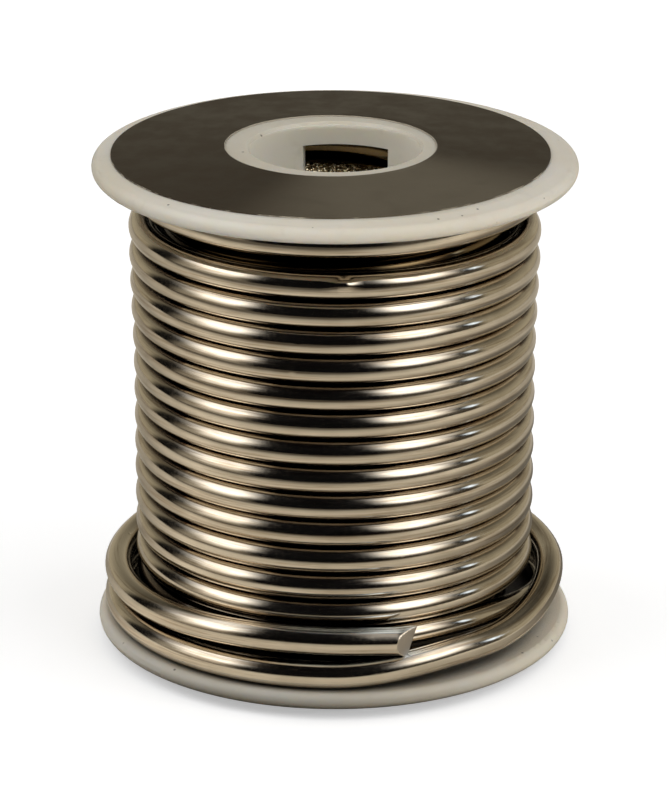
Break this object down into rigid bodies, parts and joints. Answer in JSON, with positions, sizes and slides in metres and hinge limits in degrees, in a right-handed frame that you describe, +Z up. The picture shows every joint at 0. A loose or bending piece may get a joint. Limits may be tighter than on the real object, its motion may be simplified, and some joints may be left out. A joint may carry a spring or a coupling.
{
  "type": "solder wire spool",
  "caption": "Flanged plastic reel with a plain spindle bore, wound full of thick solder wire whose loose last turns and cut end lie on the lower flange.",
  "frame": {"origin": "centre of the underside: on the bore axis, level with the lower hub's flat land", "axes": "+Z up along the bore, -Y the front where the wire's cut end lies, +X to the right of it"},
  "size_m": [0.054, 0.054, 0.0575],
  "materials": {
    "spool_plastic": "satin milky white moulded polystyrene, faintly translucent",
    "label_paper": "coated paper, printed dark brown, soft sheen",
    "solder": "bright drawn tin-lead, smooth and mirror-like with small nicks"
  },
  "bodies": {
    "root": {"upper_spool_half": "spool_plastic", "lower_spool_half": "spool_plastic", "top_label": "label_paper", "inner_winding": "solder", "solder_wire": "solder"}
  },
  "joints": []
}
